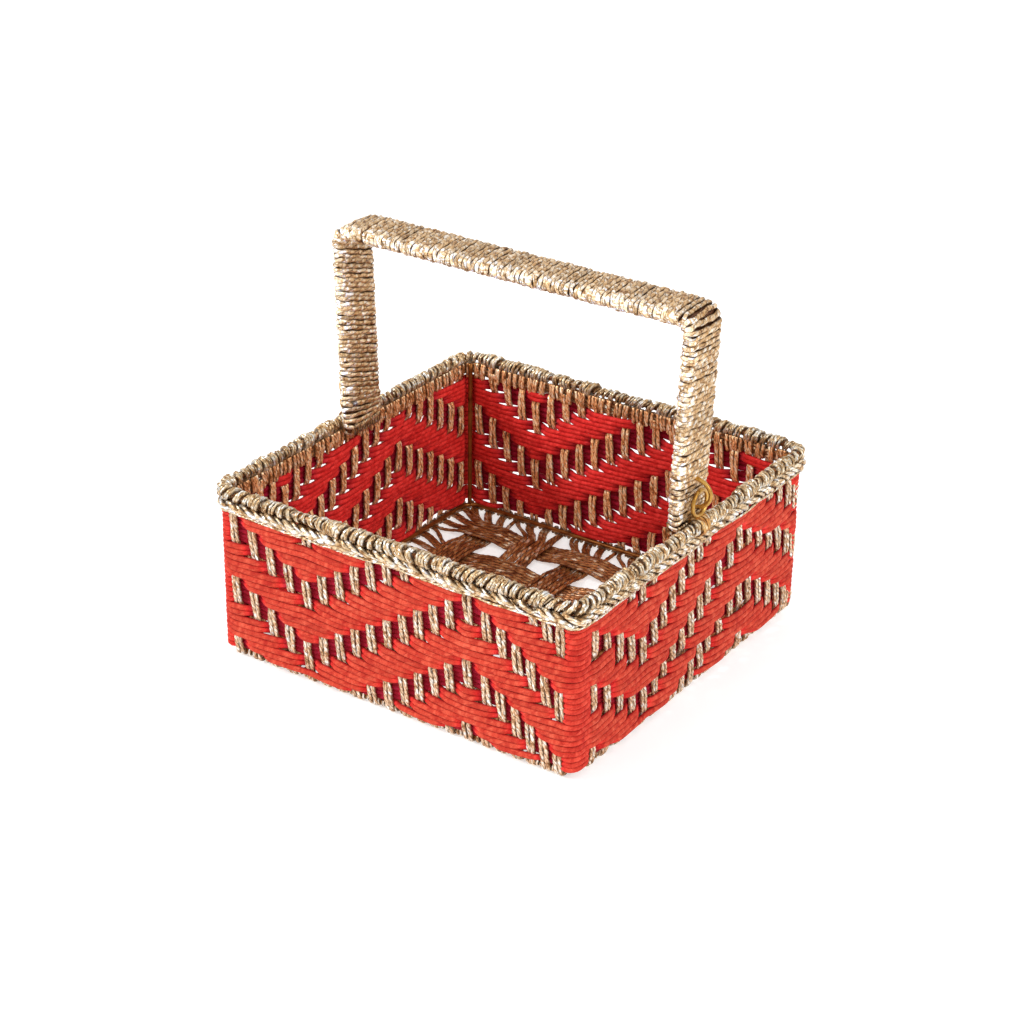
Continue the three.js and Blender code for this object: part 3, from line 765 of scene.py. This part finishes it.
def makeFrameWire():
    ring = squareLoop(baseLook["wireHalf"], baseLook["wireCorner"], 8.0, 16)
    makeHoop("base_hoop", ring, baseLook["wireZ"], baseLook["wireRadius"], 14, "bronzeWire", "base_wire")
    z = np.linspace(baseLook["wireZ"], rimLook["z"] - rimLook["wire"], 24)
    away = baseLook["postAt"] + baseLook["postBow"] * np.sin(np.linspace(0, pi, 24))
    corners = {"right_back": (1, 1), "left_back": (-1, 1), "left_front": (-1, -1), "right_front": (1, -1)}
    for name, (x, y) in corners.items():
        points = np.column_stack([x * away, y * away, z])
        post = sweep(points, (x, -y, 0), baseLook["postRadius"], baseLook["postRadius"], 14)
        makePiece(f"corner_wire_{name}", [post], "bronzeWire", [f"corner_post_{name}"])


def hitchBase():
    # short loops of gold cord under the base wire and up its outer side, between the uprights' feet
    hitch = baseLook["hitches"]
    wide, high = hitch["radius"]
    spots, along = loopPoints(baseLook["wireHalf"], baseLook["wireCorner"])
    total = int(along[-1] / hitch["pitch"])
    cords = []
    for k in range(total):
        chance = np.random.default_rng(5000 + k)
        angle = np.radians(np.linspace(hitch["from"], hitch["to"] + chance.uniform(-15, 15), 12))[:, None]
        lean = chance.uniform(-hitch["lean"], hitch["lean"])
        at, normal = onLoop(spots, along, (k + 0.15 * lean) * along[-1] / total + lean * np.linspace(0, 1, 12))
        facing = normal * np.cos(angle) + upward * np.sin(angle)
        points = at + upward * baseLook["wireZ"] + facing * (hitch["reach"] + 0.15 * lean)
        cords.append(sweep(points, facing, wide, high, 8, 2, 0.16, 6.0, strand=chance.uniform(0, 1), turn=k))
    makePiece("base_hitches", cords, "goldThread")


weaveBase()
makeFrameWire()
hitchBase()
print("base woven")


# handle: a flat core wound with thin cord, its hooks and the eyes on the rim

handleLook = {
    "footZ": 110.0, "footHalf": 121.55, "gripHalf": 127.0, "gripZ": 246.2, "shoulder": 7.8,
    "halfWidth": 16.3, "halfThickness": 2.9, "edge": 2.7,
    "cordHalf": 1.68, "cordHeight": 1.3, "pitch": 3.15, "sides": 12, "inset": 3.0,
    "slant": {"left": -0.35, "grip": -0.08, "right": 0.12},  # how much a turn runs along the handle across its width
    "sag": 3.2, "sagLength": 9, "sagHalf": 17,  # the last turns hang down at their middle
    "crown": 0.6,
    "narrow": 0.2,
    "spacing": (0.16, 5, 0.5), "lift": (0.22, 5, 0.35), "fat": (0.12, 5, 0.25), "tone": (0.5, 4, 0.3),
    "loose": {"all": 0.11, "ends": 0.28, "length": 7, "noise": (1, 5, 1.6)},
    # painted highlight along the handle's edges, strongest at the front
    "paintedEdgeHighlight": {"front": 9, "back": 12, "over": 4, "backShare": 0.25, "noise": (0.3, 5, 5)},
}
footLook = {
    "half": 13.0, "pitch": 2.6, "section": (1.35, 1.2), "out": 3.7, "steep": 1.9, "waver": 0.8,
    "along": [6.0, 4.0, 2.0, 0.6, -0.3, -0.9, -1.1, -0.9, -0.3, 0.6, 2.0, 4.0, 6.0],
}
eyeLook = {"radius": 8.2, "wire": 1.35, "half": 131.0, "z": 127.85}
hookLook = {"height": 19.0, "reach": 12.4, "drop": 3.5, "wire": 1.35, "legFace": 3.2}
pinLook = {"y": -12.0, "above": 3.0, "legFace": 4.9, "length": 1.6, "radius": 1.9, "dome": 1.75}
lashingLook = {"turns": 4.5, "reach": 5.35, "more": 0.25, "pitch": 1.9, "wander": 0.5, "section": (1.15, 1.0)}

# the handle's middle line: a leg, a shoulder and half of the grip, mirrored for the right side
foot = np.array([-handleLook["footHalf"], handleLook["footZ"]])
cornerPoint = np.array([-handleLook["gripHalf"], handleLook["gripZ"]])
legUp = (cornerPoint - foot) / np.linalg.norm(cornerPoint - foot)
legOut = np.array([-legUp[1], legUp[0]])
shoulderTurn = acos(legUp[0])
shoulderTangent = handleLook["shoulder"] * tan(shoulderTurn / 2)
legLength = np.linalg.norm(cornerPoint - foot) - shoulderTangent
shoulderLength = handleLook["shoulder"] * shoulderTurn
halfLength = legLength + shoulderLength + handleLook["gripHalf"] - shoulderTangent
bendEnd = legLength + shoulderLength
shoulderCentre = foot + legUp * legLength - legOut * handleLook["shoulder"]


def handleSpots(distance):
    # x, z and outward normal on the handle's middle line, from the left foot to the right one
    distance = np.asarray(distance, float)
    mirrored = distance > halfLength
    d = np.where(mirrored, 2 * halfLength - distance, distance)[:, None]
    turn = np.clip((d - legLength) / handleLook["shoulder"], 0, shoulderTurn)
    normal = np.hstack([legOut[0] * np.cos(turn) + legOut[1] * np.sin(turn),
                        -legOut[0] * np.sin(turn) + legOut[1] * np.cos(turn)])
    leg = foot + legUp * np.minimum(d, legLength)
    arc = shoulderCentre + normal * handleLook["shoulder"]
    grip = np.hstack([d - halfLength, 0 * d + handleLook["gripZ"]])
    at = np.where(d <= legLength, leg, np.where(d <= bendEnd, arc, grip))
    normal = np.where(d <= bendEnd, normal, [0.0, 1.0])
    flip = np.where(mirrored, -1.0, 1.0)
    return at[:, 0] * flip, at[:, 1], normal[:, 0] * flip, normal[:, 1]


def sectionTurn():
    # once round the handle's section: y, out, their normal and the share of the way round
    edge, thick = handleLook["edge"], handleLook["halfThickness"]
    flatY, flatOut = handleLook["halfWidth"] - edge, thick - edge
    spots = []
    for signY, signOut, start in ((1, 1, 0), (-1, 1, 90), (-1, -1, 180), (1, -1, 270)):
        for k in range(6):
            angle = radians(start + 18 * k)
            face = cos(angle), sin(angle)
            spots.append((signY * flatY + edge * face[0], signOut * flatOut + edge * face[1], *face))
        if signY == signOut:
            for k in range(1, 9):
                spots.append((signY * flatY * (1 - k / 4.5), signY * thick, 0.0, float(signY)))
    spots = np.array(spots)
    steps = np.linalg.norm(np.roll(spots[:, :2], -1, 0) - spots[:, :2], axis=1)
    return spots, np.concatenate([[0], np.cumsum(steps)[:-1]]) / steps.sum()


def windHandle():
    section, share = sectionTurn()
    total, inset, sides = 2 * halfLength, handleLook["inset"], handleLook["sides"]
    turns = int((total - inset - inset) / handleLook["pitch"])
    count = turns * len(section)

    def varied(key, seed):
        return uneven(handleLook[key], seed, count, len(section), smoothLine)

    tau = (np.arange(turns)[:, None] + share[None]).ravel()
    y, out, faceY, faceOut = (np.tile(section[:, k], turns) for k in range(4))
    base = inset + tau * (total - inset - inset) / turns
    left, grip, right = (handleLook["slant"][k] for k in ("left", "grip", "right"))
    knots = [2, 26, legLength - 8, bendEnd + 6, total - bendEnd - 16, total - legLength + 10, total - 16, total - 2]
    slant = np.interp(base, knots, [0.0, left, left, grip, grip, right, right, 0.0])
    end = np.minimum(base, total - base)
    sag = handleLook["sag"] * np.exp(-end / handleLook["sagLength"]) * (1 - (y / handleLook["sagHalf"]) ** 2)
    sag = sag * np.where(base < halfLength, -1, 1)
    loose = handleLook["loose"]
    wave = loose["all"] + loose["ends"] * np.exp(-end / loose["length"])
    wave = wave * uneven(loose["noise"], 93, count, 1, smoothLine)
    # the turns lie in loose groups of about five
    group = 0.7 * np.sin(tau * 2 * pi / 5.3 + 2 * np.sin(tau * 0.31)) * (0.6 + 0.4 * np.sin(tau * 0.17))
    spacing = varied("spacing", 90)
    distance = base + slant * y + sag + spacing + wave + 0.25 * group
    x, z, nx, nz = handleSpots(np.clip(distance, 1.0, total - 1.0))
    lift = varied("lift", 91)
    narrow = 1 - handleLook["narrow"] * np.exp(-end / 5)
    crown = handleLook["crown"] * (1 - (y / handleLook["halfWidth"]) ** 2) * np.sign(out)
    reach = out + crown + lift * faceOut
    points = np.column_stack([x + nx * reach, y * narrow + lift * faceY, z + nz * reach])
    facing = np.column_stack([nx * faceOut, faceY, nz * faceOut])
    fat = 1 + varied("fat", 92)
    cord = sweep(points, facing, handleLook["cordHalf"] * fat, handleLook["cordHeight"] * fat, sides, 2, 0.2, 22.5)
    tone = 0.5 + varied("tone", 95)
    cord["strand"] = np.repeat(np.clip(tone, 0, 1), sides)
    # painted highlight: the thread is painted paler along the edges, most at the front, where the key light falls
    edgeHighlightLook = handleLook["paintedEdgeHighlight"]
    paintedEdgeHighlight = np.clip((-y - edgeHighlightLook["front"]) / edgeHighlightLook["over"], 0, 1)
    paintedEdgeHighlight = paintedEdgeHighlight + edgeHighlightLook["backShare"] * np.clip((y - edgeHighlightLook["back"]) / edgeHighlightLook["over"], 0, 1)
    paintedEdgeHighlight = paintedEdgeHighlight * (0.8 + uneven(edgeHighlightLook["noise"], 97, count, 1, smoothLine))
    cord["paintedLight"] = np.repeat(np.clip(0.5 * paintedEdgeHighlight, 0, 0.5), sides)
    makePiece("handle_cord", [cord], "handleThread", ["handle_winding"], "handle")
    print("handle wound:", turns, "turns")


def closeFeet():
    # cords laid over the cut end of each leg, under the winding, and the core's own finish
    along = np.array(footLook["along"])
    out = footLook["out"] * np.clip(np.linspace(-1, 1, len(along)) * footLook["steep"], -1, 1)
    x = foot[0] + legUp[0] * along + legOut[0] * out
    z = foot[1] + legUp[1] * along + legOut[1] * out
    for name, side in (("left", -1), ("right", 1)):
        cords = []
        for k, across in enumerate(np.arange(-footLook["half"], footLook["half"] + 0.1, footLook["pitch"])):
            sway = across + footLook["waver"] * wander(len(along), 5, 4000 + k)
            points = np.column_stack([side * -x, sway, z])
            cords.append(sweep(points, (0, 1, 0), *footLook["section"], 10, 2, 0.18, 9.0, strand=(k * 0.37) % 1,
                               turn=k))
        makePiece(f"foot_cords_{name}", cords, "handleThread", (), "handle")
    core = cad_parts["handle_core"]
    core.data.materials.clear()
    core.data.materials.append(finishes["brownThread"])


def makeHooks():
    # an open wire bow on each leg's outer face, through a ring that stands on the rim
    angle = np.linspace(-0.5, 0.5, 40) * pi
    z = eyeLook["z"] - hookLook["drop"] + hookLook["height"] * (1 - np.sin(angle)) / 2
    legX, _, legNormal, _ = handleSpots((z - handleLook["footZ"]) / legUp[1])
    bow = -(legX + legNormal * hookLook["legFace"]) + hookLook["reach"] * np.cos(angle)
    turn = np.arange(48) * 2 * pi / 48
    for name, side in (("left", -1), ("right", 1)):
        hook = sweep(np.column_stack([side * bow, 0 * z, z]), (0, 1, 0), hookLook["wire"], hookLook["wire"], 14)
        makePiece(f"hook_{name}", [hook], "brightWire", [f"handle_hook_{name}"], "handle")
        points = np.column_stack([0 * turn + side * eyeLook["half"], eyeLook["radius"] * np.cos(turn),
                                  eyeLook["z"] + eyeLook["radius"] * np.sin(turn)])
        eye = sweep(points, (side, 0, 0), eyeLook["wire"], eyeLook["wire"], 14, closed=True)
        makePiece(f"eye_{name}", [eye], "brightWire", [f"rim_eye_{name}"])


def makeSmallParts():
    # pin ends on the legs' inner faces, and cord lashed round the rim below each eye
    legX, _, legNormal, _ = handleSpots([eyeLook["z"] - handleLook["footZ"] + pinLook["above"]])
    along = np.linspace(0, pinLook["length"], 5)
    pinX = -(legX[0] - legNormal[0] * pinLook["legFace"]) - along
    dome = pinLook["radius"] * np.sqrt(1 - (along / pinLook["dome"]) ** 2)
    tau = np.linspace(0, lashingLook["turns"], 100)
    angle = 2 * pi * tau
    reach = lashingLook["reach"] + lashingLook["more"] * np.sin(2.3 * angle)
    lashY = lashingLook["pitch"] * (tau - lashingLook["turns"] / 2) + lashingLook["wander"] * np.sin(1.7 * angle)
    for name, side in (("left", -1), ("right", 1)):
        points = np.column_stack([side * pinX, 0 * along + pinLook["y"], 0 * along + eyeLook["z"] + pinLook["above"]])
        pin = sweep(points, upward, dome, dome, 16)
        makePiece(f"pin_{name}", [pin], "pinSteel", (), "handle")
        points = np.column_stack([side * (rimLook["half"] + reach * np.cos(angle)), lashY,
                                  rimLook["z"] + reach * np.sin(angle)])
        facing = np.column_stack([side * np.cos(angle), 0 * angle, np.sin(angle)])
        lashing = sweep(points, facing, *lashingLook["section"], 10, 2, 0.15, 6.0, strand=0.4)
        makePiece(f"lashing_{name}", [lashing], "ochreThread")


windHandle()
closeFeet()
makeHooks()
makeSmallParts()


# floor, light and camera

stageLook = {
    "size": 3.0, "cells": 24, "below": 0.0002,
    "paper": ((0.68, 0.68, 0.68, 1), (0.72, 0.72, 0.72, 1)), "glow": 0.5,
    "fill": 0.88,
    "suns": {
        "key": {"from": (-1.2, -1.0, 1.1), "strength": 1.6, "angle": 13.0},
        "side": {"from": (1.5, -0.4, 1.0), "strength": 0.8, "angle": 34.0},
    },
}


def makeFloor():
    cells = stageLook["cells"]
    line = np.linspace(-stageLook["size"], stageLook["size"], cells + 1)
    grid = [(x, y, -stageLook["below"]) for y in line for x in line]
    firsts = [r * (cells + 1) + c for r in range(cells) for c in range(cells)]
    mesh = bpy.data.meshes.new("floor")
    mesh.from_pydata(grid, [], [(k, k + 1, k + cells + 2, k + cells + 1) for k in firsts])
    floor = addObject("floor", mesh)
    material, tree, shader = newMaterial("white paper floor")
    grain = addNode(tree, "TexNoise", {"Scale": 40.0, "Detail": 4.0}).outputs[0]
    feed(tree, shader, {
        "Base Color": mixColour(tree, grain, *stageLook["paper"]), "Roughness": 0.9, "Specular IOR Level": 0.2,
        "Emission Color": (1, 1, 1, 1), "Emission Strength": stageLook["glow"]})
    mesh.materials.append(material)


def makeLight():
    world = bpy.data.worlds.new("studio")
    scene.world = world
    world.use_nodes = True
    tree = world.node_tree
    tree.nodes.clear()
    # white where the camera or a reflection sees it, a little dimmer as light
    path = addNode(tree, "LightPath")
    seen = maths(tree, "MAXIMUM", path.outputs["Is Glossy Ray"], path.outputs["Is Transmission Ray"])
    seen = maths(tree, "MAXIMUM", path.outputs["Is Camera Ray"], seen)
    strength = mapped(tree, seen, 0.0, 1.0, stageLook["fill"], 1.0)
    sky = addNode(tree, "Background", {"Color": (1, 1, 1, 1), "Strength": strength})
    addNode(tree, "OutputWorld", {"Surface": sky.outputs[0]})
    for name, lamp in stageLook["suns"].items():
        light = bpy.data.lights.new(name, "SUN")
        light.energy = lamp["strength"]
        light.angle = radians(lamp["angle"])
        stand = addObject(name, light)
        stand.rotation_euler = (-Vector(lamp["from"])).to_track_quat("-Z", "Y").to_euler()


cameraLook = {
    "azimuth": 34.241, "elevation": 26.481, "roll": 0.848, "distance": 1497.056, "shift": (-2.633, -5.911),
    "target": (0, 0, 90), "focalPixels": 2395.146, "pixels": 1024, "sensor": 36.0,
}


def makeCamera():
    a, e, r = (radians(cameraLook[k]) for k in ("azimuth", "elevation", "roll"))
    back = Vector((sin(a) * cos(e), -cos(a) * cos(e), sin(e)))
    right = Vector((cos(a), sin(a), 0))
    up = back.cross(right)
    rolledRight = right * cos(r) + up * sin(r)
    rolledUp = up * cos(r) - right * sin(r)
    shiftRight, shiftUp = cameraLook["shift"]
    place = (Vector(cameraLook["target"]) + back * cameraLook["distance"]
             + rolledRight * shiftRight + rolledUp * shiftUp)
    camera = addObject("camera", bpy.data.cameras.new("camera"))
    matrix = Matrix((rolledRight, rolledUp, back)).transposed().to_4x4()
    matrix.translation = place * mm
    camera.matrix_world = matrix
    camera.data.sensor_width = cameraLook["sensor"]
    camera.data.lens = cameraLook["focalPixels"] * cameraLook["sensor"] / cameraLook["pixels"]
    camera.data.clip_start, camera.data.clip_end = 0.05, 50
    scene.camera = camera


makeFloor()
makeLight()
makeCamera()
scene.view_settings.view_transform = "Standard"
print("stage set")
